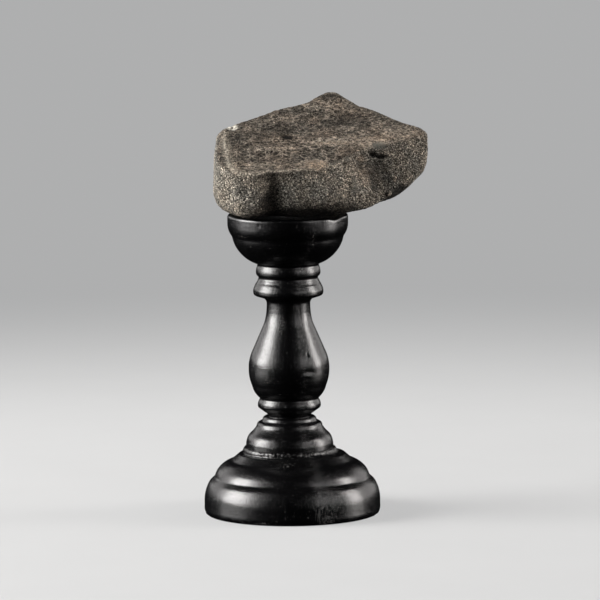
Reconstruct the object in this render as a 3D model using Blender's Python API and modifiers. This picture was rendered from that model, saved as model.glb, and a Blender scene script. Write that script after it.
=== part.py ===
"""A stony meteorite resting on a small turned wooden stand that is painted black.

The stand is two turned pieces: a round base, and a column with a cup on top that is glued into
the base a little off its axis. The stone only lies on the cup.

Lengths are given in millimetres and turned into metres by MM. The origin is on the base's axis at
its flat underside, +Z is up and +X runs to the right along the stone's long side.
"""

import math

import bmesh
import bpy
from mathutils import Vector, noise

MM = 0.001

# The stand: a common 4 inch turning
STAND_HEIGHT = 101.6
BASE_RADIUS = 29.8
CUP_RADIUS = 20.4
COLUMN_OFFSET = -0.75
TOUCH_GAP = 0.3
SEAT_HEIGHT = 21.0

# How finely the turned pieces are divided
TURNED_STEPS = 32
ARC_TURN = math.radians(30.0)

# Down the outer side of the column: radius, height, and how far the run to the next point bulges
# out, as its arc's height over half its chord. A negative bulge is a hollow.
COLUMN_PROFILE = (
    # shallow seat inside the cup
    (0.0, STAND_HEIGHT - 1.8, -0.03),
    (16.6, STAND_HEIGHT - 1.3, 0.0),
    # rim and cup
    (18.3, STAND_HEIGHT, 0.0),
    (19.3, STAND_HEIGHT, 0.35),
    (CUP_RADIUS, STAND_HEIGHT - 1.1, 0.0),
    (CUP_RADIUS, 98.2, 0.16),
    (19.0, 94.2, -0.25),
    (18.4, 93.0, 0.12),
    (18.0, 91.6, 0.19),
    (10.6, 84.9, 0.0),
    # upper collar: a bead over a flared ring
    (10.3, 84.0, 0.35),
    (10.3, 80.5, -0.6),
    (10.0, 79.7, 0.1),
    (10.7, 78.4, 0.0),
    (11.4, 77.0, 0.5),
    (11.2, 73.9, 0.0),
    (8.3, 72.9, -0.2),
    # vase
    (7.45, 71.4, -0.02),
    (7.55, 68.2, -0.12),
    (9.5, 61.9, 0.0),
    (12.35, 55.6, 0.13),
    (13.75, 49.6, 0.12),
    (12.75, 43.3, 0.25),
    (9.9, 39.5, -0.3),
    # lower collar: a bead over a thin fillet
    (9.5, 38.8, 0.72),
    (9.3, 34.9, -0.6),
    (7.7, 33.9, 0.0),
    (8.1, 33.1, 0.3),
    (9.7, 31.5, 0.0),
    # bell foot
    (10.7, 30.9, 0.0),
    (11.2, 29.9, -0.15),
    (13.8, 26.7, 0.2),
    (14.9, 22.9, 0.0),
    (14.9, SEAT_HEIGHT + TOUCH_GAP, 0.0),
    (0.0, SEAT_HEIGHT + TOUCH_GAP, 0.0),
)

BASE_PROFILE = (
    # seat of the column, with the thick bead of glue and paint round it
    (0.0, SEAT_HEIGHT, 0.0),
    (16.0, SEAT_HEIGHT, 0.0),
    (16.2, SEAT_HEIGHT + 0.3, 0.6),
    (17.9, SEAT_HEIGHT - 0.9, -0.3),
    # upper and lower swell
    (18.6, 19.2, 0.0),
    (20.3, 18.6, 0.22),
    (25.3, 14.6, -0.15),
    (26.1, 13.2, 0.22),
    (BASE_RADIUS, 5.6, 0.0),
    (BASE_RADIUS, 2.6, 0.15),
    (29.3, 0.0, 0.0),
    (0.0, 0.0, 0.0),
)

# The stone lies a little back of the middle of the cup. From there: right, back and up
STONE_BACK = 1.5
STONE_CENTRE = Vector((6.0, -2.0, 17.0))
STONE_FINENESS = 6
STONE_FACES_KEPT = 0.225
EDGE_SHARPNESS = 24.0
EDGE_SMOOTHINGS = 3

# Its faces: a point on each, and the way it faces
STONE_FACES = (
    # sloping top
    ((5.0, -22.0, 17.6), (0.0, -0.5, 1.0)),
    # left side and its rounded shoulders
    ((-24.7, -8.0, 14.0), (-1.0, 0.0, 0.05)),
    ((-21.2, -10.0, 2.4), (-0.75, -0.2, -0.65)),
    ((-23.4, -3.0, 27.6), (-0.75, 0.0, 0.65)),
    # front, its lower edge and its two corners
    ((4.0, -24.0, 9.0), (0.0, -1.0, -0.05)),
    ((0.0, -22.5, 2.6), (0.1, -0.7, -0.7)),
    ((-20.5, -21.5, 9.0), (-0.7, -0.7, 0.0)),
    ((29.0, -15.0, 12.0), (0.36, -0.87, 0.3)),
    # right end, cut away below
    ((51.9, 0.0, 25.0), (1.0, 0.0, 0.08)),
    ((49.4, -3.0, 17.0), (0.9, -0.1, -0.43)),
    ((39.2, -4.0, 7.4), (0.66, -0.1, -0.75)),
    ((24.0, -10.0, 2.2), (0.2, 0.0, -1.0)),
    # back
    ((-3.3, 12.3, 15.0), (-0.49, 0.87, 0.02)),
    ((30.5, 11.4, 20.0), (0.59, 0.807, 0.04)),
    ((15.0, 25.0, 30.0), (0.08, 1.0, 0.1)),
    ((0.0, 15.0, 4.0), (-0.3, 0.6, -0.72)),
    ((24.0, 12.0, 6.0), (0.45, 0.55, -0.7)),
    # underside
    ((0.0, 0.0, 0.4), (0.0, 0.0, -1.0)),
)

# Its hollows and swells: the middle, the reach each way, and the depth, below nought for a swell
STONE_DENTS = (
    # upright groove right of the left lobe
    ((-4.6, -24.0, 7.0), (2.6, 6.0, 8.5), 2.6),
    # left lobe
    ((-13.5, -24.0, 8.0), (7.0, 6.0, 9.0), -1.4),
    # hollow front below the sharp edge
    ((7.0, -24.0, 11.0), (11.0, 6.0, 5.0), 0.9),
    # scoop that cuts the right front edge
    ((28.0, -12.0, 19.0), (7.0, 7.0, 5.0), 3.2),
    # tip of the right end
    ((46.0, 1.0, 29.0), (6.0, 6.0, 5.0), -1.4),
    # peak at the back
    ((15.0, 21.0, 38.0), (9.5, 7.0, 6.0), -1.5),
    # swells and a hollow of the back
    ((-6.0, 11.0, 14.0), (9.0, 6.0, 8.0), -1.3),
    ((6.0, 17.0, 22.0), (6.0, 6.0, 8.0), 1.2),
    ((31.0, 12.0, 14.0), (9.0, 7.0, 7.0), -1.2),
    # shallow valleys on the top
    ((-4.0, 0.0, 28.0), (10.0, 5.0, 5.0), 0.9),
    ((12.0, 8.0, 32.0), (9.0, 4.5, 5.0), 0.7),
)
LUMP_SIZE = 9.0
LUMP_HEIGHT = 0.5


def material(name, colour, roughness):
    """A plain material with the piece's colour."""
    made = bpy.data.materials.new(name)
    made.use_nodes = True
    shader = made.node_tree.nodes["Principled BSDF"]
    shader.inputs["Base Color"].default_value = (*colour, 1.0)
    shader.inputs["Roughness"].default_value = roughness
    shader.inputs["Metallic"].default_value = 0.0
    return made


def arc(start, end, bulge):
    """Points after start, up to end, along an arc whose height is bulge times half its chord."""
    chord = end - start
    if bulge == 0.0:
        return [end]
    middle = (start + end) / 2
    outward = Vector((-chord.y, chord.x)).normalized()
    half = chord.length / 2
    radius = half * (1 + bulge * bulge) / (2 * abs(bulge))
    centre = middle - outward * (math.copysign(radius, bulge) - bulge * half)
    first = start - centre
    turn = first.angle_signed(end - centre)
    steps = math.ceil(abs(turn) / ARC_TURN)
    points = []
    for step in range(1, steps + 1):
        angle = -turn * step / steps
        across = Vector((-first.y, first.x))
        points.append(centre + first * math.cos(angle) + across * math.sin(angle))
    return points


def outline(profile):
    """The turned profile's points from its table of runs."""
    points = [Vector(profile[0][:2])]
    for here, there in zip(profile, profile[1:]):
        points += arc(Vector(here[:2]), Vector(there[:2]), here[2])
    return points


def turned(name, profile, place, look, home):
    """A piece turned round the Z axis: the profile with a Screw modifier."""
    points = outline(profile)
    mesh = bpy.data.meshes.new(name)
    corners = [(max(point.x, 0.0) * MM, 0.0, point.y * MM) for point in points]
    edges = [(index, index + 1) for index in range(len(corners) - 1)]
    mesh.from_pydata(corners, edges, [])
    piece = bpy.data.objects.new(name, mesh)
    piece.location = place
    home.objects.link(piece)
    screw = piece.modifiers.new("turn", "SCREW")
    screw.steps = TURNED_STEPS
    screw.render_steps = TURNED_STEPS
    screw.use_merge_vertices = True
    screw.merge_threshold = 0.00005
    screw.use_smooth_shade = True
    mesh.materials.append(look)


def reach(direction):
    """How far the stone goes from its centre in a direction: the nearest face, edges rounded."""
    total = 0.0
    for point, normal in STONE_FACES:
        facing = Vector(normal).normalized()
        closing = facing.dot(direction)
        distance = facing.dot(Vector(point) - STONE_CENTRE)
        if closing > 0.0:
            total += (closing / distance) ** EDGE_SHARPNESS
    return total ** (-1.0 / EDGE_SHARPNESS)


def dented(point):
    """How deep the hollows are at a point of the stone."""
    depth = 0.0
    for middle, sizes, deepest in STONE_DENTS:
        away = sum(((a - b) / size) ** 2 for a, b, size in zip(point, middle, sizes))
        depth += deepest * math.exp(-away)
    lump = noise.noise(point / LUMP_SIZE) + 0.5 * noise.noise(point * 2.0 / LUMP_SIZE)
    return depth + LUMP_HEIGHT * lump


def stone(name, place, look, home):
    """The meteorite: a ball whose points are drawn in to flat faces and then dented."""
    form = bmesh.new()
    bmesh.ops.create_icosphere(form, subdivisions=STONE_FINENESS, radius=1.0)
    for vertex in form.verts:
        direction = vertex.co.normalized()
        point = STONE_CENTRE + direction * reach(direction)
        vertex.co = (point - direction * dented(point)) * MM
    for _ in range(EDGE_SMOOTHINGS):
        bmesh.ops.smooth_vert(
            form, verts=form.verts, factor=0.5, use_axis_x=True, use_axis_y=True, use_axis_z=True
        )
    mesh = bpy.data.meshes.new(name)
    form.to_mesh(mesh)
    form.free()
    mesh.shade_smooth()
    mesh.materials.append(look)
    piece = bpy.data.objects.new(name, mesh)
    piece.location = place
    home.objects.link(piece)
    thinned = piece.modifiers.new("fewer faces", "DECIMATE")
    thinned.ratio = STONE_FACES_KEPT


def main():
    for leftover in list(bpy.data.objects):
        bpy.data.objects.remove(leftover, do_unlink=True)
    home = bpy.data.collections.new("meteorite_on_stand")
    bpy.context.scene.collection.children.link(home)
    paint = material("black_paint", (0.012, 0.012, 0.013), 0.35)
    crust = material("fusion_crust", (0.055, 0.048, 0.04), 0.85)
    turned("stand_base", BASE_PROFILE, (0.0, 0.0, 0.0), paint, home)
    turned("stand_column", COLUMN_PROFILE, (COLUMN_OFFSET * MM, 0.0, 0.0), paint, home)
    stone_place = (COLUMN_OFFSET * MM, STONE_BACK * MM, STAND_HEIGHT * MM)
    stone("meteorite", stone_place, crust, home)


main()
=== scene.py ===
"""Looks of a stony meteorite on a small turned wooden stand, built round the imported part.

The three pieces follow the part's own profiles and faces finely, and add what the solids leave
out: the stone's sharp front edge, crackled crust, pits and grains, and the stand's thick paint with
its dents, runs and grain cracks. Tables are in millimetres, and MM turns them into metres. The
stone's own tables count from a place a little behind the middle of the cup's rim.
"""

import math
from types import SimpleNamespace

import bmesh
import bpy
import numpy as np
from mathutils import Matrix, Vector, noise


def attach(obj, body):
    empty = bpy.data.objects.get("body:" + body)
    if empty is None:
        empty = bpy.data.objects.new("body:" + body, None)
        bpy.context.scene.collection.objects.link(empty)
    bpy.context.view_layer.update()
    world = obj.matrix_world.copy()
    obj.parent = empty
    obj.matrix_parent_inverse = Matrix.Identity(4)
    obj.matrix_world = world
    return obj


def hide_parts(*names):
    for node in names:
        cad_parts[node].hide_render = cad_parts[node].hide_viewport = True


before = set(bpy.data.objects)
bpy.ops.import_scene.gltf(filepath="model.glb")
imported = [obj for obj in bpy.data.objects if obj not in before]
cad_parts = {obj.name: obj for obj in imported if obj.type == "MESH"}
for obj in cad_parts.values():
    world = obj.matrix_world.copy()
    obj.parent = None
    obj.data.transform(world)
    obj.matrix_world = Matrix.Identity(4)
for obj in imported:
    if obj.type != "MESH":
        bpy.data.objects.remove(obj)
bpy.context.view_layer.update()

MM = 0.001

# The stand's sizes, as the part has them
STAND_HEIGHT = 101.6
BASE_RADIUS = 29.8
CUP_RADIUS = 20.4
COLUMN_OFFSET = -0.75
TOUCH_GAP = 0.3
SEAT_HEIGHT = 21.0

# Down the outer side: radius, height, and the bulge of the run to the next point
COLUMN_PROFILE = (
    # shallow seat, rim and cup
    (0.0, STAND_HEIGHT - 1.8, -0.03), (16.6, STAND_HEIGHT - 1.3, 0.0),
    (18.3, STAND_HEIGHT, 0.0), (19.5, STAND_HEIGHT, 0.35), (CUP_RADIUS, STAND_HEIGHT - 0.9, 0.0),
    (CUP_RADIUS, 98.2, 0.16), (19.0, 94.2, -0.1), (18.7, 93.1, 0.03), (18.1, 91.4, 0.205),
    (10.75, 84.7, 0.0),
    # upper collar: a bead over a flared ring
    (10.35, 84.45, 0.0), (10.64, 83.8, 0.0), (10.87, 83.1, 0.0), (11.0, 82.2, 0.1),
    (10.9, 81.2, 0.2), (10.44, 80.5, 0.0), (10.05, 80.2, 0.0), (10.13, 79.8, 0.0),
    (10.5, 79.1, 0.0), (10.78, 78.45, 0.0), (11.2, 77.85, 0.0), (11.5, 77.1, 0.0),
    (11.8, 76.45, 0.1), (11.95, 75.3, 0.1), (11.8, 74.4, 0.2), (11.1, 73.8, 0.0), (8.3, 72.9, -0.2),
    # vase
    (7.45, 71.4, -0.02), (7.6, 68.2, -0.03), (7.98, 65.9, -0.03), (8.45, 64.3, -0.015),
    (9.5, 61.9, 0.0), (12.25, 55.6, 0.11), (13.72, 49.6, 0.11), (12.6, 43.3, 0.16),
    (10.35, 39.4, 0.0), (9.95, 39.15, 0.0),
    # lower collar: a drum, a deep recess and a thin fillet
    (10.4, 38.3, 0.12), (10.75, 36.9, 0.1), (10.72, 36.3, 0.2), (10.3, 35.7, 0.0),
    (7.3, 33.5, 0.0), (6.8, 32.6, 0.0), (7.9, 33.2, 0.0), (8.4, 33.02, 0.3), (9.2, 31.95, 0.05),
    (9.35, 31.5, -0.2), (10.2, 31.25, 0.0),
    # bell foot
    (10.75, 30.9, 0.2), (11.2, 29.7, 0.0), (11.6, 29.1, -0.07), (13.4, 27.2, 0.16),
    (14.65, 24.6, 0.08), (14.85, 23.6, 0.0), (14.85, SEAT_HEIGHT + TOUCH_GAP, 0.0),
    (0.0, SEAT_HEIGHT + TOUCH_GAP, 0.0),
)
BASE_PROFILE = (
    # seat of the column, with the thick bead of glue and paint round it
    (0.0, SEAT_HEIGHT, 0.0), (14.5, SEAT_HEIGHT, 0.0), (14.65, 22.5, 0.0), (15.1, 22.55, 0.3),
    (15.55, 22.15, 0.1), (15.95, 21.1, 0.0), (16.15, 20.8, -0.2), (16.7, 20.5, -0.1),
    (17.5, 20.5, 0.2), (18.3, 20.05, 0.0),
    # upper and lower swell
    (20.6, 18.1, 0.19), (25.5, 14.5, 0.05), (26.3, 12.5, -0.1), (26.95, 11.95, 0.0),
    (27.95, 11.0, 0.13), (BASE_RADIUS, 5.0, 0.0), (BASE_RADIUS, 2.6, 0.15), (29.3, 0.0, 0.0),
    (0.0, 0.0, 0.0),
)

# The part's own stone: where it lies, its centre, how fine its ball is, how sharp its edges are,
# and its lumps
STONE_BACK = 1.5
STONE_PLACE = np.array((COLUMN_OFFSET, STONE_BACK, STAND_HEIGHT))
STONE_CENTRE = np.array((6.0, -2.0, 17.0))
STONE_FINENESS = 6
EDGE_SHARPNESS = 24.0
EDGE_SMOOTHINGS = 3
LUMP_SIZE = 9.0
LUMP_HEIGHT = 0.5
# A point on each face, and the way it faces
STONE_FACES = (
    ((5.0, -22.0, 17.6), (0.0, -0.5, 1.0)),
    ((-24.7, -8.0, 14.0), (-1.0, 0.0, 0.05)),
    ((-21.2, -10.0, 2.4), (-0.75, -0.2, -0.65)),
    ((-23.4, -3.0, 27.6), (-0.75, 0.0, 0.65)),
    ((4.0, -24.0, 9.0), (0.0, -1.0, -0.05)),
    ((0.0, -22.5, 2.6), (0.1, -0.7, -0.7)),
    ((-20.5, -21.5, 9.0), (-0.7, -0.7, 0.0)),
    ((29.0, -15.0, 12.0), (0.36, -0.87, 0.3)),
    ((51.9, 0.0, 25.0), (1.0, 0.0, 0.08)),
    ((49.4, -3.0, 17.0), (0.9, -0.1, -0.43)),
    ((39.2, -4.0, 7.4), (0.66, -0.1, -0.75)),
    ((24.0, -10.0, 2.2), (0.2, 0.0, -1.0)),
    ((-3.3, 12.3, 15.0), (-0.49, 0.87, 0.02)),
    ((30.5, 11.4, 20.0), (0.59, 0.807, 0.04)),
    ((15.0, 25.0, 30.0), (0.08, 1.0, 0.1)),
    ((0.0, 15.0, 4.0), (-0.3, 0.6, -0.72)),
    ((24.0, 12.0, 6.0), (0.45, 0.55, -0.7)),
    ((0.0, 0.0, 0.4), (0.0, 0.0, -1.0)),
)
# The middle, the reach each way and the depth of each hollow, below nought for a swell
STONE_DENTS = (
    ((-4.6, -24.0, 7.0), (2.6, 6.0, 8.5), 2.6),
    ((-13.5, -24.0, 8.0), (7.0, 6.0, 9.0), -1.4),
    ((7.0, -24.0, 11.0), (11.0, 6.0, 5.0), 0.9),
    ((28.0, -12.0, 19.0), (7.0, 7.0, 5.0), 3.2),
    ((46.0, 1.0, 29.0), (6.0, 6.0, 5.0), -1.4),
    ((15.0, 21.0, 38.0), (9.5, 7.0, 6.0), -1.5),
    ((-6.0, 11.0, 14.0), (9.0, 6.0, 8.0), -1.3),
    ((6.0, 17.0, 22.0), (6.0, 6.0, 8.0), 1.2),
    ((31.0, 12.0, 14.0), (9.0, 7.0, 7.0), -1.2),
    ((-4.0, 0.0, 28.0), (10.0, 5.0, 5.0), 0.9),
    ((12.0, 8.0, 32.0), (9.0, 4.5, 5.0), 0.7),
)

# Finer forms of the stone, which the part leaves out: middle, reach and depth as above
FINE_DENTS = (
    # flatter facet of the left lobe: its outer corner drawn in, its inner edge raised
    ((-19.5, -22.0, 9.0), (4.5, 5.0, 8.0), 1.3),
    ((-10.3, -24.0, 8.0), (2.6, 4.0, 8.0), -0.6),
    # foot of the groove, and the turned-under lower front
    ((-5.2, -22.5, 5.0), (2.6, 5.0, 6.0), 0.6),
    ((-1.2, -24.0, 8.0), (2.0, 5.0, 8.0), 0.35),
    ((8.0, -22.0, 2.0), (16.0, 4.0, 2.4), 0.8),
    # long valley across the top and the raised band in front of it
    ((3.0, 1.0, 28.5), (15.0, 3.6, 5.0), 0.6),
    ((19.0, 5.0, 30.5), (8.0, 3.2, 5.0), 0.7),
    ((21.0, -7.5, 25.0), (15.0, 2.8, 5.0), -0.55),
    ((-6.0, -11.0, 21.5), (11.0, 2.2, 5.0), -0.4),
    ((-9.0, -17.0, 18.5), (6.0, 3.0, 5.0), 0.4),
    ((4.0, -16.0, 20.0), (7.0, 2.6, 5.0), 0.3),
    # hollow slopes left and right of the peak
    ((5.5, 18.0, 36.0), (5.0, 5.0, 5.0), 0.9),
    ((23.5, 17.0, 36.5), (6.0, 5.0, 5.0), 0.35),
    ((15.2, 21.0, 38.5), (2.6, 4.0, 3.0), -0.15),
    # front left of the upright ridge, and the ridge beside the broad hollow
    ((18.5, -19.5, 9.0), (4.5, 4.0, 5.5), 0.5),
    ((24.8, -16.5, 9.5), (2.6, 4.0, 5.0), -0.7),
    ((22.2, -17.0, 11.5), (1.1, 4.0, 5.0), -0.55),
    ((30.0, -12.5, 14.5), (4.6, 4.0, 5.0), 0.9),
    # the right end turns under
    ((34.5, -12.5, 6.0), (7.0, 5.0, 4.2), 1.6),
    ((34.2, -14.0, 7.6), (2.2, 3.0, 2.2), -0.7),
    ((40.0, -8.0, 18.0), (6.0, 4.0, 5.0), -0.7),
    # thumb marks of the back and of both ends
    ((-20.0, 5.0, 13.0), (4.0, 5.0, 5.5), 1.2),
    ((-12.0, 9.0, 21.0), (5.0, 5.0, 4.0), 1.1),
    ((-2.0, 14.0, 9.0), (5.0, 5.0, 4.0), 1.3),
    ((2.0, 16.0, 28.0), (4.0, 5.0, 3.5), 0.9),
    ((13.0, 24.0, 21.0), (5.5, 5.0, 6.0), 1.5),
    ((24.0, 18.0, 27.0), (5.0, 5.0, 4.5), 1.2),
    ((22.0, 18.0, 11.0), (5.0, 5.0, 3.5), 1.1),
    ((38.0, 8.0, 21.0), (5.0, 5.0, 5.0), 1.2),
    ((47.0, 0.0, 17.0), (4.0, 5.0, 3.5), 0.7),
)
# Small pits: middle, reach, depth and how dark their painted shade is
PITS = (
    ((0.3, -4.1, 26.0), (2.5, 2.1, 1.8), 0.55, 1.0),
    ((28.9, -10.4, 20.5), (1.5, 1.4, 0.8), 0.9, 0.9),
    ((31.4, -10.1, 19.7), (1.9, 1.4, 0.8), 1.0, 0.95),
    ((18.9, -16.0, 18.2), (1.2, 1.2, 0.7), 0.5, 0.7),
    ((24.6, -13.8, 17.6), (1.4, 1.2, 0.8), 0.45, 0.6),
    ((26.5, -13.6, 14.6), (2.2, 1.4, 0.8), 0.35, 0.6),
    ((44.6, -6.2, 15.5), (0.8, 0.8, 0.8), 0.35, 0.7),
    ((-18.4, 1.5, 28.9), (0.45, 1.2, 0.6), 0.35, 0.9),
    ((26.6, -15.9, 9.0), (0.7, 0.7, 0.7), 0.3, 0.8),
    ((-3.6, -22.6, 9.0), (0.7, 0.9, 0.7), 0.3, 0.6),
    ((9.5, 20.5, 15.0), (1.3, 1.3, 1.0), 0.5, 0.6),
    ((-14.0, 8.0, 17.0), (1.1, 1.1, 1.4), 0.45, 0.6),
    ((34.0, 10.5, 26.0), (1.2, 1.2, 0.8), 0.4, 0.6),
    ((-24.0, -3.0, 18.0), (0.9, 0.9, 0.9), 0.3, 0.5),
)
# Round grains that stand out: middle and radius
BEADS = (
    ((34.2, -14.0, 7.6), 1.25),
    ((30.1, -16.2, 4.8), 0.9),
    ((28.1, -17.3, 6.3), 0.7),
    ((32.2, -15.3, 6.0), 0.8),
    ((41.5, -8.0, 14.0), 0.8),
    ((-2.6, -22.8, 6.2), 0.6),
    ((20.0, 21.8, 17.0), 1.0),
    ((-8.0, 11.0, 12.0), 0.9),
    ((37.0, 8.0, 13.0), 0.8),
)
# The sharp front edge of the top, from the left rear corner to the right tip
FRONT_EDGE = (
    (-20.4, -2.4, 27.0), (-20.7, -7.1, 24.8), (-19.6, -13.4, 21.7), (-18.6, -19.8, 18.3),
    (-16.9, -23.0, 16.2), (-13.0, -24.4, 15.2), (-9.6, -24.3, 15.6), (-6.3, -23.4, 16.5),
    (-0.7, -23.1, 16.6), (4.3, -22.6, 16.6), (9.2, -21.4, 16.6), (14.2, -19.3, 17.2),
    (17.9, -17.2, 18.3), (20.6, -14.8, 19.6), (25.0, -11.4, 21.8), (30.0, -9.2, 23.0),
    (34.4, -8.0, 23.8), (39.0, -6.0, 25.0), (43.9, -2.7, 26.8),
)
TIP_CRACK = ((43.6, -2.6, 27.0), (44.6, -3.1, 26.2), (45.4, -2.8, 25.5), (46.8, -2.6, 24.2))
# Blots of colour, of painted light and of painted shade: middle, reach and strength
# Pale crust with a finer net on the top, and painted light on the lit front, ridge and lobe and along
# the top's lit bands
PALE_AND_LIT_BANDS = (
    ((22.0, -8.0, 25.0), (17.0, 3.2, 4.0), 1.0),
    ((9.0, -19.5, 18.0), (7.0, 3.0, 3.0), 0.8),
    ((-8.0, -20.5, 17.0), (9.0, 2.6, 3.0), 0.6),
    ((-5.0, -11.0, 21.8), (12.0, 1.8, 3.0), 0.6),
    ((15.0, 13.0, 34.5), (8.0, 2.0, 3.0), 0.3),
    ((-4.0, 4.5, 29.8), (9.0, 1.8, 3.0), 0.3),
    ((38.0, -3.0, 27.0), (8.0, 4.0, 4.0), 0.9),
    # painted light on the front, its upright ridge and the right of the left lobe
    ((9.0, -21.0, 11.0), (13.0, 5.0, 5.5), 0.5),
    ((21.0, -17.0, 11.5), (5.6, 6.0, 6.5), 1.0),
    ((-11.0, -23.0, 10.0), (3.5, 5.0, 6.0), 0.6),
)
TAN_BLOTS = (
    ((9.8, -19.6, 18.0), (4.2, 2.6, 2.4), 0.8),
    ((26.2, -15.6, 14.0), (2.4, 2.6, 5.5), 0.34),
    ((25.0, -12.4, 19.4), (1.8, 1.6, 1.2), 0.6),
    ((36.0, -11.6, 12.6), (0.7, 1.0, 1.6), 0.6),
    ((30.0, -6.0, 25.0), (6.0, 2.0, 2.0), 0.35),
    ((16.0, -9.0, 24.2), (6.0, 1.2, 2.0), 0.45),
    ((10.0, 16.0, 12.0), (2.5, 2.5, 2.0), 0.4),
)
# Painted shade under the stone, at the right end's foot, in the groove and round the right hollow,
# and darker patches on the top
SHADE_AND_DARK_BLOTS = (
    ((33.2, -13.1, 11.8), (2.2, 2.0, 2.2), 0.6),
    ((29.3, -13.0, 11.5), (2.3, 6.0, 6.5), 0.55),
    ((31.0, -11.8, 16.5), (3.0, 2.5, 3.0), 0.5),
    ((-4.6, -22.5, 10.0), (1.6, 4.0, 8.0), 0.5),
    ((-6.2, -22.5, 4.0), (3.7, 4.5, 6.5), 0.8),
    ((4.0, -21.0, 0.4), (22.0, 9.0, 3.5), 0.97),
    ((36.0, -9.0, 6.5), (9.0, 7.0, 5.2), 0.86),
    ((2.0, 2.0, 29.0), (13.0, 3.0, 3.0), 0.4),
    ((20.0, 5.0, 31.0), (9.0, 2.8, 3.0), 0.6),
    ((-14.0, -4.0, 25.5), (8.0, 4.0, 4.0), 0.3),
    ((15.0, 18.5, 37.0), (9.0, 4.0, 4.0), 0.3),
)
SMOOTH_BLOTS = (
    ((30.6, -9.0, 23.0), (2.6, 1.6, 1.6), 1.0),
    ((20.0, -15.0, 19.5), (1.6, 1.2, 0.9), 0.8),
    ((22.2, -17.6, 11.0), (0.9, 2.4, 4.4), 0.8),
    ((-20.8, -9.0, 22.6), (1.4, 4.0, 3.4), 0.35),
    ((-19.6, -17.5, 18.4), (1.4, 3.0, 2.2), 0.35),
)
CHIPS = (
    ((-18.3, 1.4, 28.9), (2.2, 2.2, 1.4), 1.0),
    ((15.4, 20.2, 38.6), (1.0, 1.0, 0.6), 0.35),
)


def noise_at(points, size, octaves=1):
    """Soft noise, about -1 to 1, at each point of an array, with features of that size."""
    total = np.zeros(len(points))
    for octave in range(octaves):
        scaled = points * (2.0**octave / size) + 17.3 * octave
        total += np.array([noise.noise(place) for place in scaled.tolist()]) * 0.5**octave
    return total


def bell(points, middle, sizes):
    """1 at the middle, falling to nought over the sizes."""
    away = ((points - np.array(middle)) / np.array(sizes)) ** 2
    return np.exp(-away.sum(axis=1))


def smoothstep(low, high, value):
    """Nought at low, 1 at high, and a smooth slope between them."""
    share = np.clip((value - low) / (high - low), 0.0, 1.0)
    return share * share * (3.0 - 2.0 * share)


def line_distance(points, line):
    """The way from the nearest point of a line to each point, as a vector."""
    nearest = np.full(len(points), np.inf)
    offsets = np.zeros_like(points)
    for start, end in zip(np.array(line[:-1]), np.array(line[1:])):
        run = end - start
        along = np.clip((points - start) @ run / (run @ run), 0.0, 1.0)
        offset = points - (start + along[:, None] * run)
        distance = np.linalg.norm(offset, axis=1)
        closer = distance < nearest
        nearest[closer] = distance[closer]
        offsets[closer] = offset[closer]
    return offsets


def mesh_arrays(mesh):
    """Points in millimetres, and edges, of a mesh."""
    points = np.empty(len(mesh.vertices) * 3)
    mesh.vertices.foreach_get("co", points)
    edges = np.empty(len(mesh.edges) * 2, int)
    mesh.edges.foreach_get("vertices", edges)
    return points.reshape(-1, 3) / MM, edges.reshape(-1, 2)


def set_points(mesh, points):
    """Moves a mesh's points to places in millimetres."""
    mesh.vertices.foreach_set("co", (points * MM).ravel())
    mesh.update()


def normals_of(mesh):
    """The way the surface faces at each point of a mesh."""
    normals = np.empty(len(mesh.vertices) * 3)
    mesh.vertex_normals.foreach_get("vector", normals)
    return normals.reshape(-1, 3)


def smoothed(values, edges, times, share=0.5):
    """Each value moved part of the way to the mean of its neighbours."""
    values = values.copy()
    flat = values.ndim == 1
    if flat:
        values = values[:, None]
    count = np.bincount(edges.ravel(), minlength=len(values))[:, None]
    for _ in range(times):
        sums = np.zeros_like(values)
        for axis in range(values.shape[1]):
            sums[:, axis] += np.bincount(edges[:, 0], values[edges[:, 1], axis], len(values))
            sums[:, axis] += np.bincount(edges[:, 1], values[edges[:, 0], axis], len(values))
        values += share * (sums / count - values)
    return values[:, 0] if flat else values


def store(mesh, name, values):
    """Keeps a number per point for the material to read."""
    layer = mesh.attributes.new(name, "FLOAT", "POINT")
    layer.data.foreach_set("value", values.astype(np.float32))


def piece_of(name, mesh, look, node):
    """Puts a finished mesh in the scene in the place of a node."""
    mesh.materials.clear()
    mesh.materials.append(look)
    mesh.shade_smooth()
    piece = bpy.data.objects.new(name, mesh)
    bpy.context.scene.collection.objects.link(piece)
    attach(piece, "root")
    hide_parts(node)


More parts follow.
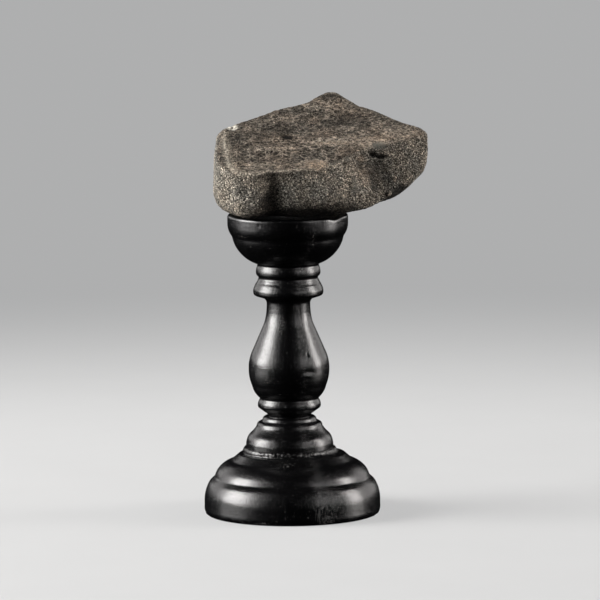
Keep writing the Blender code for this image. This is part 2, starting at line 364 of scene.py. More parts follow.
class Tree:
    """A material's nodes, added one call at a time."""

    def __init__(self, name):
        self.material = bpy.data.materials.new(name)
        self.material.use_nodes = True
        self.nodes = self.material.node_tree.nodes
        self.links = self.material.node_tree.links
        self.shader = self.nodes["Principled BSDF"]

    def put(self, socket, value):
        """Links a node's output to a socket, or sets the socket to a number or colour."""
        if isinstance(value, bpy.types.NodeSocket):
            self.links.new(value, socket)
        elif isinstance(value, tuple) and len(value) == 3 and socket.type == "RGBA":
            socket.default_value = (*value, 1.0)
        else:
            socket.default_value = value

    def surface(self, name, value):
        """Gives the shader one of its inputs."""
        self.put(self.shader.inputs[name], value)

    def add(self, kind, inputs=(), output=0, **settings):
        """A node with its settings and inputs, given by name or number; returns one output."""
        made = self.nodes.new("ShaderNode" + kind)
        for key, value in settings.items():
            setattr(made, key, value)
        for key, value in dict(inputs).items():
            self.put(made.inputs[key], value)
        return made.outputs[output]

    def math(self, operation, a, b=0.0, c=0.0):
        return self.add("Math", {0: a, 1: b, 2: c}, operation=operation)

    def times(self, a, b):
        return self.math("MULTIPLY", a, b)

    def product(self, *values):
        result = values[0]
        for value in values[1:]:
            result = self.times(result, value)
        return result

    def plus(self, a, b):
        return self.math("ADD", a, b)

    def linear(self, value, scale, offset):
        """value times scale, plus offset."""
        return self.math("MULTIPLY_ADD", value, scale, offset)

    def mix(self, share, a, b, blend="MIX"):
        """Colour a giving way to colour b by the share, or blended with it."""
        made = self.nodes.new("ShaderNodeMix")
        made.data_type = "RGBA"
        made.blend_type = blend
        for name, value in (("Factor", share), ("A", a), ("B", b)):
            socket = next(one for one in made.inputs if one.name == name and one.enabled)
            self.put(socket, value)
        return next(one for one in made.outputs if one.enabled)

    def shaded(self, colour, amount):
        """The colour multiplied by an amount."""
        grey = self.add("CombineColor", {0: amount, 1: amount, 2: amount})
        return self.mix(1.0, colour, grey, "MULTIPLY")

    def steps(self, value, low, high, from_value=0.0, to_value=1.0):
        """value from low to high turned smoothly into from_value to to_value."""
        inputs = {"Value": value, "From Min": low, "From Max": high, "To Min": from_value}
        inputs["To Max"] = to_value
        return self.add("MapRange", inputs, interpolation_type="SMOOTHSTEP")

    def noise(self, where, size, detail=2.0, roughness=0.5, colour=False):
        """Noise with features of that many millimetres."""
        inputs = {"Vector": where, "Scale": 1.0 / size, "Detail": detail, "Roughness": roughness}
        return self.add("TexNoise", inputs, output=1 if colour else 0)

    def cells(self, where, size, feature="F1", colour=False):
        """Cells of that many millimetres: the distance in them, or each one's own grey."""
        inputs = {"Vector": where, "Scale": 1.0 / size}
        made = self.add("TexVoronoi", inputs, output=1 if colour else 0, feature=feature)
        return self.add("SeparateColor", {0: made}) if colour else made

    def wandered(self, where, size, reach):
        """Places shifted about by soft noise."""
        soft = self.noise(where, size, 2.0, 0.5, colour=True)
        shift = self.add("VectorMath", {0: soft, 1: (0.5, 0.5, 0.5)}, operation="SUBTRACT")
        inputs = {0: shift, 1: (reach, reach, reach), 2: where}
        return self.add("VectorMath", inputs, operation="MULTIPLY_ADD")

    def millimetres(self):
        """The point on the object, in millimetres."""
        place = self.add("TexCoord", output=3)
        return self.add("VectorMath", {0: place, "Scale": 1.0 / MM}, operation="SCALE")

    def attribute(self, name):
        """A number that the mesh keeps per point."""
        return self.add("Attribute", output=2, attribute_name=name)

    def bump(self, height):
        """A normal from a height in millimetres."""
        return self.add("Bump", {"Height": height, "Strength": 1.0, "Distance": MM})


# Sizes of the crust's features
WARM_SIZE = 8.0
CLOUD_SIZE = 4.0
PLATE_SIZE = 2.2
FLECK_SIZE = 0.8
FLAKE_SIZE = 0.8
STREAK_SIZE = 0.62
GRAIN_SIZE = 0.5
CRUMB_SIZE = 0.42
# Colours of the crust, and of its marks
PLATE_GREY = (0.054, 0.0485, 0.0405)
PLATE_BROWN = (0.069, 0.0545, 0.0413)
NET_COLOUR = (0.44, 0.37, 0.295)
GRAIN_GREY = (0.213, 0.198, 0.169)
GRAIN_BROWN = (0.238, 0.206, 0.165)
WORN_COLOUR = (0.58, 0.51, 0.41)
TAN_COLOUR = (0.44, 0.33, 0.235)
SMOOTH_COLOUR = (0.125, 0.123, 0.107)
# The colour of painted shade, and of darker crust
SHADE_AND_DARK_COLOUR = (0.014, 0.012, 0.0105)
CHIP_GREY = (0.45, 0.42, 0.36)
CHIP_PALE = (0.86, 0.82, 0.72)


def crust_grains(tree):
    """The noises, cells and numbers per point that the crust's colours and relief share."""
    where = tree.millimetres()
    own = tree.math("POWER", 4.5, tree.cells(where, GRAIN_SIZE, colour=True))
    return SimpleNamespace(
        where=where,
        top=tree.attribute("top"),
        pale_and_lit=tree.attribute("pale_and_lit"),
        smooth=tree.attribute("smooth"),
        warm=tree.steps(tree.noise(where, WARM_SIZE, 3.0, 0.55), 0.35, 0.65),
        cloud=tree.noise(where, CLOUD_SIZE, 4.0, 0.6),
        fleck=tree.noise(where, FLECK_SIZE, 3.0, 0.65),
        crumb=tree.noise(where, CRUMB_SIZE, 2.0, 0.65),
        grain=tree.cells(where, GRAIN_SIZE),
        # how bright each grain is
        own=tree.times(own, 0.43),
    )


def crackle(tree, grains, wandering):
    """How much of the pale net shows: wide plates everywhere, finer ones in the pale and lit bands.
    """
    patchy = tree.steps(tree.noise(grains.where, 3.4, 3.0), 0.40, 0.60)
    broken = tree.steps(tree.noise(grains.where, 0.7, 2.0, 0.6), 0.38, 0.55)
    # plates' size, line's width and how much of the line there is
    nets = (
        (2.6, 0.27, tree.times(tree.linear(patchy, 0.7, 0.2), tree.linear(broken, 0.6, 0.4))),
        (1.4, 0.22, tree.times(tree.linear(grains.pale_and_lit, 0.5, 0.3), broken)),
        (0.9, 0.20, tree.times(tree.linear(grains.pale_and_lit, 0.6, 0.04), broken)),
    )
    net = 0.0
    for size, width, share in nets:
        edge = tree.cells(wandering, size, "DISTANCE_TO_EDGE")
        line = tree.times(tree.steps(edge, 0.0, width / size, 1.0, 0.0), share)
        net = tree.math("MAXIMUM", line, net)
    flecked = tree.steps(grains.fleck, 0.3, 0.65, 0.3, 1.3)
    return tree.product(net, flecked, tree.linear(grains.top, 0.92, 0.08))


def top_colour(tree, grains, net, wandering):
    """Dark plates with streaks and flakes, under the pale net."""
    along = tree.add("VectorMath", {0: grains.where, 1: (0.4, 1.0, 1.0)}, operation="MULTIPLY")
    streak = tree.noise(along, STREAK_SIZE, 3.0, 0.65)
    flake = tree.math("POWER", 10.0, tree.cells(grains.where, FLAKE_SIZE, colour=True))
    plates = tree.mix(grains.warm, PLATE_GREY, PLATE_BROWN)
    tone = tree.product(
        tree.linear(tree.cells(wandering, PLATE_SIZE, colour=True), 0.6, 0.6),
        tree.steps(grains.cloud, 0.3, 0.7, 0.65, 1.35),
        tree.times(flake, 0.25),
        tree.steps(streak, 0.34, 0.66, 0.15, 2.2),
        tree.steps(grains.crumb, 0.36, 0.64, 0.35, 1.75),
        # lighter in the pale and lit bands, which is partly painted light
        tree.linear(grains.pale_and_lit, 1.2, 1.05),
    )
    return tree.mix(net, tree.shaded(plates, tone), NET_COLOUR)


def side_tone(tree, grains):
    """How bright the grains of the sides are."""
    return tree.product(
        grains.own,
        tree.steps(grains.grain, 0.2, 0.6, 1.15, 0.5),
        tree.steps(grains.crumb, 0.36, 0.64, 0.15, 2.1),
        tree.steps(grains.cloud, 0.3, 0.7, 0.8, 1.2),
        # painted light: the lit front, ridge and lobe made paler
        tree.linear(grains.pale_and_lit, 0.75, 1.0),
    )


def marked(tree, grains, colour, tone):
    """The worn edge, tan patches, smooth spots, painted shade in hollows, pits and cracks, and fresh
    chips over the crust.
    """
    patches = (("worn", 0.36, 0.2, WORN_COLOUR), ("tan", 0.38, 0.1, TAN_COLOUR))
    for name, low, least, patch_colour in patches:
        crumbs = tree.steps(grains.crumb, low, 0.6, least, 1.0)
        share = tree.product(tree.attribute(name), crumbs, 0.9)
        colour = tree.mix(share, colour, tree.shaded(patch_colour, grains.own))
    colour = tree.mix(tree.times(grains.smooth, 0.75), colour, SMOOTH_COLOUR)
    # painted shade: the stone's underside, groove, hollows, pits, crack and bead rings darkened
    colour = tree.mix(tree.attribute("shade_and_dark"), colour, tree.shaded(SHADE_AND_DARK_COLOUR, tone))
    fresh = tree.mix(tree.steps(grains.fleck, 0.35, 0.6), CHIP_GREY, CHIP_PALE)
    return tree.mix(tree.attribute("chip"), colour, fresh)


def crust_height(tree, grains, net):
    """The crust's finest relief in millimetres: pebbled sides, and the net and flecks of the top."""
    pebbles = tree.plus(tree.times(grains.grain, -0.50), tree.times(grains.crumb, 0.60))
    rough = tree.linear(grains.smooth, -0.7, 1.0)
    sides = tree.product(pebbles, rough, tree.linear(grains.top, -0.6, 1.0))
    return tree.plus(sides, tree.plus(tree.times(net, 0.08), tree.times(grains.fleck, 0.26)))


def crust_material():
    """Dark crust: a pale net between dark plates on the top, coarse grains on the sides."""
    tree = Tree("fusion_crust")
    grains = crust_grains(tree)
    wandering = tree.wandered(grains.where, 1.4, 1.2)
    net = crackle(tree, grains, wandering)
    topside = top_colour(tree, grains, net, wandering)
    tone = side_tone(tree, grains)
    sides = tree.mix(grains.warm, GRAIN_GREY, GRAIN_BROWN)
    colour = tree.mix(grains.top, tree.shaded(sides, tone), topside)
    tree.surface("Base Color", marked(tree, grains, colour, tone))
    tree.surface("Roughness", tree.steps(grains.crumb, 0.3, 0.7, 0.6, 0.9))
    tree.surface("Specular IOR Level", 0.15)
    tree.surface("Normal", tree.bump(crust_height(tree, grains, net)))
    return tree.material


PAINT_BLACK = (0.0012, 0.0012, 0.0014)
DUST_COLOUR = (0.13, 0.12, 0.11)


def paint_material():
    """Black satin paint over open-grained wood, with dust stuck in it."""
    tree = Tree("black_paint")
    where = tree.millimetres()
    along = tree.add("VectorMath", {0: where, 1: (1.0, 1.0, 0.07)}, operation="MULTIPLY")
    across = tree.add("VectorMath", {0: where, 1: (0.1, 0.1, 1.0)}, operation="MULTIPLY")
    open_grain = tree.steps(tree.noise(along, 0.35, 2.0, 0.6), 0.50, 0.40)
    brushed = tree.noise(across, 0.45, 2.0, 0.6)
    orange_peel = tree.noise(where, 0.55, 2.0, 0.6)
    cloud = tree.noise(where, 3.5, 3.0, 0.6)
    speck = tree.noise(where, 0.42, 1.0, 0.4)
    # the more dust there is, the more of the noise's peaks are specks
    lowest_speck = tree.linear(tree.attribute("dust"), -0.15, 0.75)
    dust = tree.steps(speck, lowest_speck, tree.plus(lowest_speck, 0.05))
    tree.surface("Base Color", tree.mix(tree.times(dust, 0.5), PAINT_BLACK, DUST_COLOUR))
    tree.surface("Roughness", tree.steps(cloud, 0.3, 0.7, 0.205, 0.265))
    tree.surface("Specular IOR Level", 0.5)
    cracks = tree.times(open_grain, tree.linear(tree.attribute("grain"), -0.13, -0.012))
    height = tree.plus(tree.plus(tree.times(orange_peel, 0.032), cracks), tree.times(dust, 0.13))
    tree.surface("Normal", tree.bump(tree.plus(height, tree.times(brushed, 0.028))))
    return tree.material


# How finely the turned pieces are divided, how far thick paint rounds their corners, and the room
# that its relief takes
RUN_SPACING = 0.4
FINEST_SPACING = 0.05
ARC_TURN = math.radians(4.0)
COLUMN_STEPS = 300
BASE_STEPS = 400
PAINT_REACH = 0.2
PAINT_STEPS = 30
PAINT_ROOM = 0.12
# The base stays flat below this height
UNDERSIDE = 0.02


def arc(start, end, bulge):
    """Points after start, up to end, along an arc whose height is bulge times half its chord."""
    chord = end - start
    if bulge == 0.0:
        return [end]
    middle = (start + end) / 2
    outward = Vector((-chord.y, chord.x)).normalized()
    half = chord.length / 2
    radius = half * (1 + bulge * bulge) / (2 * abs(bulge))
    centre = middle - outward * (math.copysign(radius, bulge) - bulge * half)
    first = start - centre
    turn = first.angle_signed(end - centre)
    steps = math.ceil(abs(turn) / ARC_TURN)
    across = Vector((-first.y, first.x))
    angles = [-turn * step / steps for step in range(1, steps + 1)]
    return [centre + first * math.cos(angle) + across * math.sin(angle) for angle in angles]


def fine_outline(profile, spacing):
    """The profile as evenly spaced points, its corners rounded as thick paint rounds them."""
    corners = [Vector(profile[0][:2])]
    for here, there in zip(profile, profile[1:]):
        corners += arc(Vector(here[:2]), Vector(there[:2]), here[2])
    corners = np.array([tuple(corner) for corner in corners])
    runs = np.hypot(*np.diff(corners, axis=0).T)
    along = np.concatenate(([0.0], np.cumsum(runs)))
    fine = np.linspace(0.0, along[-1], round(along[-1] / FINEST_SPACING) + 1)
    line = np.stack([np.interp(fine, along, corners[:, axis]) for axis in (0, 1)], axis=1)
    offsets = np.arange(-PAINT_STEPS, PAINT_STEPS + 1) * FINEST_SPACING
    weights = np.exp(-((offsets / PAINT_REACH) ** 2))
    weights /= weights.sum()
    before = 2 * line[0] - line[PAINT_STEPS:0:-1]
    after = 2 * line[-1] - line[-2:-PAINT_STEPS - 2:-1]
    padded = np.concatenate((before, line, after))
    soft = np.stack([np.convolve(padded[:, axis], weights, "valid") for axis in (0, 1)], axis=1)
    count = round(along[-1] / spacing)
    picked = np.linspace(0, len(soft) - 1, count + 1).round().astype(int)
    points = soft[picked]
    points[0, 0] = points[-1, 0] = 0.0
    return points


def in_rings(pairs, steps):
    """Each pair of a radius and a height, repeated all round the Z axis."""
    angles = np.arange(steps) * (2 * math.pi / steps)
    around = np.stack([np.cos(angles), np.sin(angles)], axis=1)
    flat = pairs[:, None, 0, None] * around[None]
    tall = np.broadcast_to(pairs[:, None, 1, None], (len(pairs), steps, 1))
    return np.concatenate([flat, tall], axis=2).reshape(-1, 3)


def ring_faces(rings, steps):
    """Faces between the rings of a turned piece, and the fans that close its two ends."""
    ring, step = np.meshgrid(np.arange(rings - 1), np.arange(steps), indexing="ij")
    here = ring * steps + step
    beside = ring * steps + (step + 1) % steps
    sides = np.stack([here, here + steps, beside + steps, beside], axis=2).reshape(-1, 4)
    places = np.arange(steps)
    following = (places + 1) % steps
    last_ring = (rings - 1) * steps
    first_end = np.full(steps, rings * steps)
    top_fan = np.stack([first_end, places, following], axis=1)
    low_fan = np.stack([first_end + 1, last_ring + following, last_ring + places], axis=1)
    return sides.tolist() + top_fan.tolist() + low_fan.tolist()


def turned(outline, steps, centre_x, relief, dusty):
    """A closed mesh of the outline turned round the Z axis, moved out by relief(points)."""
    inner = outline[1:-1]
    slope = np.gradient(outline, axis=0)[1:-1]
    out = np.stack([-slope[:, 1], slope[:, 0]], axis=1)
    out /= np.linalg.norm(out, axis=1)[:, None]
    points = in_rings(inner, steps)
    points = points + in_rings(out, steps) * relief(points)[:, None]
    ends = np.array([(0.0, 0.0, outline[0, 1]), (0.0, 0.0, outline[-1, 1])])
    points = np.concatenate([points, ends])
    mesh = bpy.data.meshes.new("turned")
    places = (points + (centre_x, 0.0, 0.0)) * MM
    mesh.from_pydata(places.tolist(), [], ring_faces(len(inner), steps))
    mesh.update()
    store(mesh, "grain", grain_streaks(points))
    specks = sum(mark(points, *place) for place in dusty)
    store(mesh, "dust", np.clip(1.4 * specks, 0.0, 1.0))
    return mesh


def azimuth_of(points):
    """Degrees round from the front, to the right positive."""
    return np.degrees(np.arctan2(points[:, 0], -points[:, 1]))


def waviness(points):
    """Hand-brushed paint: broad waves and small runs."""
    return noise_at(points, 7.0, 2) * 0.026 + noise_at(points, 1.6, 2) * 0.010


def grain_streaks(points):
    """Where the wood's grain opens through the paint: a streak right of the front, and one behind."""
    azimuth = azimuth_of(points) + 3.0 * noise_at(points * (1.0, 1.0, 0.3), 8.0)
    on_base = smoothstep(17.0, 11.0, points[:, 2])
    front = np.exp(-(((azimuth - 23.0) / 6.0) ** 2)) * (0.25 + 0.75 * on_base)
    behind = np.exp(-(((np.abs(azimuth) - 171.0) / 8.0) ** 2))
    return np.maximum(front, behind)


# Marks on the column: azimuth, height, reach round, reach up and depth
COLUMN_MARKS = (
    # dent in the vase, with the lip of paint below it
    (30.5, 49.3, 1.9, 0.65, 0.42),
    (30.0, 47.7, 2.1, 0.5, -0.10),
    (31.0, 55.0, 0.30, 0.5, 0.7),
    # chipped rim
    (50.0, 101.5, 1.6, 0.9, 0.45),
    (56.0, 101.3, 1.1, 0.6, 0.25),
    (-28.0, 99.3, 0.3, 0.3, 0.25),
    # drips on the bowl and a flaw in the upper bead
    (25.0, 97.6, 0.3, 0.5, -0.2),
    (27.0, 95.8, 0.35, 0.6, -0.22),
    (25.5, 93.9, 0.3, 0.5, -0.18),
    (27.5, 92.2, 0.35, 0.5, -0.15),
    (32.0, 90.2, 0.35, 0.4, -0.15),
    (-20.0, 92.0, 0.3, 0.3, -0.10),
    (150.0, 60.0, 0.9, 0.5, 0.2),
    (-140.0, 88.0, 0.5, 0.5, -0.15),
)
# Where dust and crumbs of glue stuck in the paint: azimuth, height, reach round, reach up
COLUMN_DUST = (
    (20.0, 83.4, 1.6, 1.1),
    (32.0, 38.4, 1.9, 1.0),
    (42.0, 32.4, 2.2, 0.9),
    (-33.0, 46.6, 1.5, 1.2),
    (-15.0, 64.5, 1.1, 2.4),
    (-32.0, 70.6, 1.0, 1.2),
    (26.0, 95.0, 1.0, 3.2),
    (-50.0, 95.2, 4.0, 0.5),
    (160.0, 37.5, 2.0, 1.5),
)
BASE_DUST = (
    (40.0, 22.0, 9.0, 0.8),
    (-20.0, 21.8, 9.0, 0.6),
    (-60.0, 21.8, 8.0, 0.6),
    (-5.0, 19.0, 2.2, 0.9),
    (-22.0, 0.6, 6.5, 0.6),
    (24.0, 1.2, 3.5, 1.2),
    (120.0, 21.8, 12.0, 0.6),
    (-140.0, 21.8, 12.0, 0.6),
)


def mark(points, middle, height, round_reach, up_reach):
    """1 at a place on a turned piece, falling to nought round it."""
    radius = np.hypot(points[:, 0], points[:, 1])
    turn = (azimuth_of(points) - middle + 180.0) % 360.0 - 180.0
    across = np.radians(turn) * radius / round_reach
    up = (points[:, 2] - height) / up_reach
    return np.exp(-(across**2) - up**2)


def column_relief(points):
    """Brushed paint and the column's marks, which stay off the seat inside its cup."""
    outer = smoothstep(14.0, 17.0, np.hypot(points[:, 0], points[:, 1]) + 99.0 - points[:, 2])
    depth = sum(deepest * mark(points, *place) for *place, deepest in COLUMN_MARKS)
    return waviness(points) - PAINT_ROOM - outer * depth


def base_relief(points):
    """Thick paint, the rough bead of glue, fine turned rings, a crack, and a rough lower edge."""
    height = points[:, 2]
    glue = np.exp(-(((height - 21.7) / 0.8) ** 2))
    glue_lumps = glue * (0.34 * noise_at(points, 0.95, 2) + 0.05)
    foot = smoothstep(1.6, 0.3, height)
    ragged = foot * (0.22 * noise_at(points, 1.8, 2) - 0.08)
    wander = 1.5 * noise_at(points, 9.0)
    rings = 0.012 * np.sin(height * 9.0 + wander) * smoothstep(13.0, 9.0, height)
    relief = waviness(points) - PAINT_ROOM + glue_lumps + ragged + rings
    crack = np.exp(-(((azimuth_of(points) - 29.0 - 0.5 * noise_at(points, 3.0)) / 0.45) ** 2))
    relief -= 0.14 * crack * smoothstep(3.0, 6.0, height) * smoothstep(15.0, 11.0, height)
    return np.where(height < UNDERSIDE, 0.0, relief)


def build_stand(look):
    """The column and the base, whose bead of glue follows the column off the base's axis."""
    outline = fine_outline(COLUMN_PROFILE, RUN_SPACING)
    column = turned(outline, COLUMN_STEPS, COLUMN_OFFSET, column_relief, COLUMN_DUST)
    piece_of("painted_column", column, look, "stand_column")
    outline = fine_outline(BASE_PROFILE, RUN_SPACING)
    base = turned(outline, BASE_STEPS, 0.0, base_relief, BASE_DUST)
    points, _ = mesh_arrays(base)
    points[:, 0] += COLUMN_OFFSET * smoothstep(20.6, 21.4, points[:, 2])
    set_points(base, points)
    piece_of("painted_base", base, look, "stand_base")


# The stone's even faces, and the way its top faces
VOXEL = 0.34
TOP_FACING = (0.0, -0.447, 0.894)
# Its front edge, crisper than the part's, with a thin crest, and the depth of the tip's crack
CRISP_SHARPNESS = 90.0
CRISP_REACH = 5.0
CREST_HEIGHT = 0.34
CREST_WIDTH = 0.8
CRACK_DEPTH = 0.35
# The room that the relief takes, and the height that the stone stays under
RELIEF_ROOM = 0.14
HIGHEST = 140.2


def reach(directions, sharpness):
    """How far the stone goes from its centre each way: the nearest face, edges rounded."""
    total = np.zeros(len(directions))
    for point, normal in STONE_FACES:
        facing = np.array(normal) / np.linalg.norm(normal)
        closing = np.maximum(directions @ facing, 0.0)
        distance = facing @ (np.array(point) - STONE_CENTRE)
        total += (closing / distance) ** sharpness
    return total ** (-1.0 / sharpness)


def hollows(points, table):
    """How deep the hollows of a table are at each point."""
    return sum(deepest * bell(points, middle, sizes) for middle, sizes, deepest in table)


def lumps(points):
    """The part's own lumps."""
    coarse = noise_at(points, LUMP_SIZE)
    return LUMP_HEIGHT * (coarse + 0.5 * noise_at(points * 2.0, LUMP_SIZE))


def rough_stone():
    """The part's own stone, a ball drawn in to its faces and dented, with a crisper front edge."""
    form = bmesh.new()
    bmesh.ops.create_icosphere(form, subdivisions=STONE_FINENESS, radius=1.0)
    mesh = bpy.data.meshes.new("rough_stone")
    form.to_mesh(mesh)
    form.free()
    points, edges = mesh_arrays(mesh)
    directions = points / np.linalg.norm(points, axis=1)[:, None]
    soft = reach(directions, EDGE_SHARPNESS)
    crisp = reach(directions, CRISP_SHARPNESS)
    points = STONE_CENTRE + directions * soft[:, None]
    away = np.linalg.norm(line_distance(points, FRONT_EDGE), axis=1)
    share = np.exp(-((away / CRISP_REACH) ** 2))
    points = STONE_CENTRE + directions * (soft + share * (crisp - soft))[:, None]
    depth = hollows(points, STONE_DENTS) + lumps(points)
    points = smoothed(points - directions * depth[:, None], edges, EDGE_SMOOTHINGS - 1)
    set_points(mesh, points)
    return mesh


def even_mesh(mesh, voxel):
    """The same surface with even faces."""
    holder = bpy.data.objects.new("holder", mesh)
    bpy.context.scene.collection.objects.link(holder)
    again = holder.modifiers.new("even", "REMESH")
    again.mode = "VOXEL"
    again.voxel_size = voxel * MM
    graph = bpy.context.evaluated_depsgraph_get()
    even = bpy.data.meshes.new_from_object(holder.evaluated_get(graph))
    bpy.data.objects.remove(holder)
    return even


def edge_relief(points):
    """A thin crest along the sharp front edge with a groove under it, and how worn the edge is."""
    offsets = line_distance(points, FRONT_EDGE)
    away = np.linalg.norm(offsets, axis=1)
    crest = CREST_HEIGHT * np.exp(-((away / CREST_WIDTH) ** 2))
    below = -offsets[:, 2]
    groove = 0.14 * np.exp(-(((below - 1.7) / 0.8) ** 2)) * smoothstep(3.5, 2.0, away)
    left = smoothstep(-7.0, -11.0, points[:, 0])
    right = smoothstep(16.0, 22.0, points[:, 0])
    beyond = np.abs(away - 0.4 * left) / (0.42 + 0.6 * left)
    worn = np.exp(-(beyond**2)) * (1.0 - 0.45 * left - 0.7 * right)
    return crest - groove, worn


def bead_relief(points):
    """Round grains that stand out of the crust, each in a fine ring."""
    height = np.zeros(len(points))
    ring = np.zeros(len(points))
    for middle, radius in BEADS:
        away = np.linalg.norm(points - np.array(middle), axis=1) / radius
        height += 0.45 * radius * np.sqrt(np.clip(1.0 - away**2, 0.0, 1.0))
        ring = np.maximum(ring, np.exp(-(((away - 1.1) / 0.22) ** 2)))
    return height - 0.12 * ring, ring


def blots(points, table, ragged):
    """How strong the blots of a table are at each point, their rims ragged."""
    total = np.zeros(len(points))
    for middle, sizes, strength in table:
        inside = smoothstep(0.2, 0.7, bell(points, middle, sizes) + 0.22 * ragged)
        total = np.maximum(total, strength * inside)
    return total


def tip_crack(points, ragged):
    """1 in the hair crack of the right tip, falling to nought beside it."""
    away = np.linalg.norm(line_distance(points, TIP_CRACK), axis=1) + 0.08 * ragged
    return np.exp(-((away / 0.36) ** 2))


def pitted(points):
    """How deep the small pits are at each point, and how dark their painted shade is."""
    depth = 0.0
    shade_and_dark = np.zeros(len(points))
    for middle, sizes, deepest, darkest in PITS:
        inside = smoothstep(0.15, 0.75, bell(points, middle, sizes))
        depth += deepest * inside
        shade_and_dark = np.maximum(shade_and_dark, darkest * inside)
    return depth, shade_and_dark


def build_stone(look):
    """The part's stone with even faces and finer relief, and the numbers its crust reads."""
    mesh = even_mesh(rough_stone(), VOXEL)
    points, edges = mesh_arrays(mesh)
    points = smoothed(points, edges, 3)
    set_points(mesh, points)
    normals = normals_of(mesh)
    top = smoothstep(0.70, 0.90, smoothed(normals @ np.array(TOP_FACING), edges, 4))
    ragged = noise_at(points, 1.3, 2)
    pit_depth, pit_shade = pitted(points)
    beads, rings = bead_relief(points)
    crack = tip_crack(points, ragged)
    edge, worn = edge_relief(points)

    height = edge - hollows(points, FINE_DENTS) - pit_depth + beads - CRACK_DEPTH * crack
    height += 0.16 * noise_at(points, 3.2, 2) + 0.07 * noise_at(points, 1.2, 2)
    height += (1.0 - top) * (0.13 * noise_at(points, 0.85) + 0.05)
    moved = points + normals * (height - RELIEF_ROOM)[:, None] + STONE_PLACE
    moved[:, 2] = np.minimum(moved[:, 2], HIGHEST)
    set_points(mesh, moved)

    # painted shade and darker patches, kept off the beads
    shade_and_dark = blots(points, SHADE_AND_DARK_BLOTS, ragged) * (1.0 - 0.7 * smoothstep(0.0, 0.3, beads))
    store(mesh, "top", top)
    store(mesh, "worn", worn)
    # painted shade in the pits, the tip's crack and the rings round the beads
    store(mesh, "shade_and_dark", np.max([shade_and_dark, pit_shade, crack, 0.6 * rings], axis=0))
    store(mesh, "chip", blots(points, CHIPS, ragged) * (1.0 - np.clip(pit_shade, 0.0, 1.0)))
    # the pale and lit bands are partly painted light
    for name, table in (("pale_and_lit", PALE_AND_LIT_BANDS), ("tan", TAN_BLOTS), ("smooth", SMOOTH_BLOTS)):
        store(mesh, name, blots(points, table, ragged))
    piece_of("crusted_stone", mesh, look, "meteorite")


# Where the camera stands, the height on the base's axis that it looks at, its roll and its lens
CAMERA_PLACE = (3.15, -1785.0, 302.0)
CAMERA_AIM = 72.2
CAMERA_ROLL = math.radians(-0.5)
CAMERA_LENS = 321.0
# How bright everything but the softboxes is: above, below, and as the camera sees it
ROOM_ABOVE = 0.02
ROOM_BELOW = 0.004
BACKDROP = 0.43
FLOOR_GLOW = 0.43
# From how far out, in millimetres, the floor takes less of the softboxes' light, and where none
LIT_FLOOR = (180.0, 620.0)
# How far the floor goes and how far it lies under the base, in metres
FLOOR_REACH = 8.0
FLOOR_DROP = 0.0001
FLOOR_GREYS = ((0.235, 0.235, 0.233), (0.26, 0.26, 0.258))
LEFT_COLOUR = (1.0, 0.985, 0.97)
RIGHT_COLOUR = (1.0, 0.965, 0.94)
# Azimuth in degrees from the camera's side, low and high edge, width and distance in metres,
# radiance and colour. The low panels stand below the floor, which casts no shadow, and light the
# forms that face down.
SOFTBOXES = (
    ("left_softbox", -85.0, 0.11, 0.78, 0.66, 1.0, 20.5, LEFT_COLOUR),
    ("left_softbox_rim", -61.0, 0.11, 0.74, 0.18, 1.0, 6.0, LEFT_COLOUR),
    ("left_softbox_fringe", -48.0, 0.11, 0.70, 0.24, 1.0, 1.0, LEFT_COLOUR),
    ("left_back_rim", -111.0, 0.11, 0.74, 0.20, 1.0, 3.2, LEFT_COLOUR),
    ("right_softbox", 92.5, 0.05, 0.70, 0.34, 1.0, 15.0, RIGHT_COLOUR),
    ("right_softbox_rim", 77.0, 0.05, 0.68, 0.14, 1.0, 1.5, RIGHT_COLOUR),
    ("right_front_panel", 49.5, 0.19, 0.66, 0.60, 1.0, 2.0, (1.0, 0.97, 0.97)),
    ("left_back_panel", -135.0, 0.12, 0.80, 0.8, 1.2, 1.4, (1.0, 0.98, 0.97)),
    ("right_back_panel", 127.0, 0.05, 0.70, 1.0, 1.2, 1.5, (1.0, 0.97, 0.95)),
    ("left_low_panel", -85.0, -0.20, -0.04, 0.75, 1.0, 3.4, LEFT_COLOUR),
    ("right_low_panel", 92.0, -0.20, -0.03, 0.46, 1.0, 4.0, RIGHT_COLOUR),
    ("left_lowest_panel", -85.0, -0.45, -0.20, 0.75, 1.0, 0.7, LEFT_COLOUR),
    ("right_lowest_panel", 92.0, -0.40, -0.20, 0.46, 1.0, 0.9, RIGHT_COLOUR),
)


def add_camera():
    """A long lens that looks a little down."""
    data = bpy.data.cameras.new("camera")
    data.lens = CAMERA_LENS
    data.clip_start = 0.1
    data.clip_end = 50.0
    camera = bpy.data.objects.new("camera", data)
    bpy.context.scene.collection.objects.link(camera)
    pitch = math.atan2(CAMERA_PLACE[2] - CAMERA_AIM, -CAMERA_PLACE[1])
    right = Vector((1.0, 0.0, 0.0))
    up = Vector((0.0, math.sin(pitch), math.cos(pitch)))
    turned_right = right * math.cos(CAMERA_ROLL) + up * math.sin(CAMERA_ROLL)
    turned_up = up * math.cos(CAMERA_ROLL) - right * math.sin(CAMERA_ROLL)
    axes = Matrix((turned_right, turned_up, turned_right.cross(turned_up))).transposed()
    camera.matrix_world = Matrix.Translation(Vector(CAMERA_PLACE) * MM) @ axes.to_4x4()
    bpy.context.scene.camera = camera


def add_softbox(name, azimuth, low, high, width, distance, radiance, colour):
    """An upright panel facing the object. Right of the camera's side is positive."""
    data = bpy.data.lights.new(name, "AREA")
    data.shape = "RECTANGLE"
    data.size = width
    data.size_y = high - low
    data.energy = radiance * math.pi * width * (high - low)
    data.color = colour
    box = bpy.data.objects.new(name, data)
    bpy.context.scene.collection.objects.link(box)
    angle = math.radians(azimuth)
    place = Vector((math.sin(angle), -math.cos(angle), 0.0)) * distance
    place.z = (low + high) / 2
    inward = Vector((-place.x, -place.y, 0.0))
    box.location = place
    box.rotation_euler = inward.to_track_quat("-Z", "Y").to_euler()


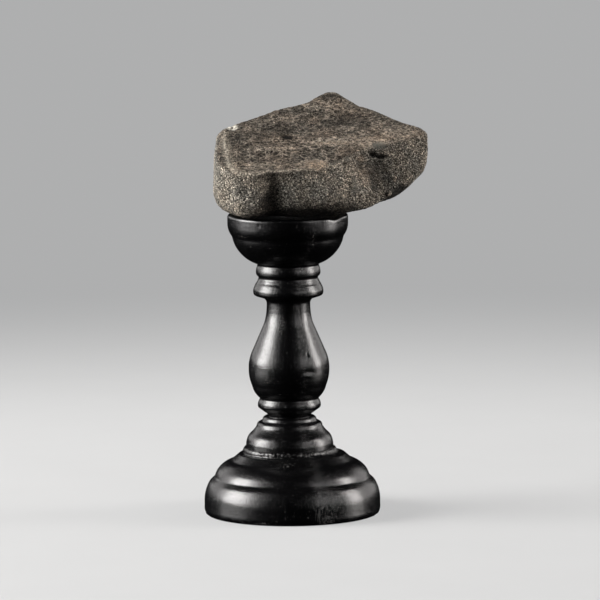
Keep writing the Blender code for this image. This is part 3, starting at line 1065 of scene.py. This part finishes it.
def add_world():
    """A pale backdrop for the eye, and a dim room for everything else."""
    world = bpy.data.worlds.new("studio")
    world.use_nodes = True
    tree = world.node_tree
    seen = tree.nodes.new("ShaderNodeLightPath").outputs["Is Camera Ray"]
    direction = tree.nodes.new("ShaderNodeTexCoord").outputs["Generated"]
    parts = tree.nodes.new("ShaderNodeSeparateXYZ")
    tree.links.new(direction, parts.inputs[0])
    room = tree.nodes.new("ShaderNodeMapRange")
    tree.links.new(parts.outputs["Z"], room.inputs["Value"])
    for name, value in (("From Min", -0.05), ("To Min", ROOM_BELOW), ("To Max", ROOM_ABOVE)):
        room.inputs[name].default_value = value
    strength = tree.nodes.new("ShaderNodeMapRange")
    tree.links.new(seen, strength.inputs["Value"])
    tree.links.new(room.outputs["Result"], strength.inputs["To Min"])
    strength.inputs["To Max"].default_value = BACKDROP
    backdrop = tree.nodes["Background"]
    backdrop.inputs["Color"].default_value = (0.97, 0.98, 1.0, 1.0)
    tree.links.new(strength.outputs["Result"], backdrop.inputs["Strength"])
    bpy.context.scene.world = world
    bpy.context.scene.view_settings.view_transform = "Standard"


def add_floor():
    """A plain pale floor that only the camera sees, so that the dark paint doesn't mirror it."""
    mesh = bpy.data.meshes.new("floor")
    side = FLOOR_REACH
    corners = [(-side, -side), (side, -side), (side, side), (-side, side)]
    mesh.from_pydata([(x, y, -FLOOR_DROP) for x, y in corners], [], [(0, 1, 2, 3)])
    floor = bpy.data.objects.new("floor", mesh)
    bpy.context.scene.collection.objects.link(floor)
    floor.visible_diffuse = False
    floor.visible_glossy = False
    floor.visible_shadow = False
    tree = Tree("floor")
    where = tree.millimetres()
    away = tree.add("VectorMath", {0: where}, output=1, operation="LENGTH")
    lit = tree.steps(away, *LIT_FLOOR, 1.0, 0.0)
    cloth = tree.mix(tree.noise(where, 40.0, 3.0), *FLOOR_GREYS)
    tree.surface("Base Color", tree.mix(lit, (0.0, 0.0, 0.0), cloth))
    tree.surface("Roughness", 1.0)
    tree.surface("Specular IOR Level", 0.0)
    tree.surface("Emission Color", (0.99, 0.995, 1.0))
    tree.surface("Emission Strength", FLOOR_GLOW)
    mesh.materials.append(tree.material)


add_camera()
add_world()
for softbox in SOFTBOXES:
    add_softbox(*softbox)
add_floor()
build_stand(paint_material())
build_stone(crust_material())
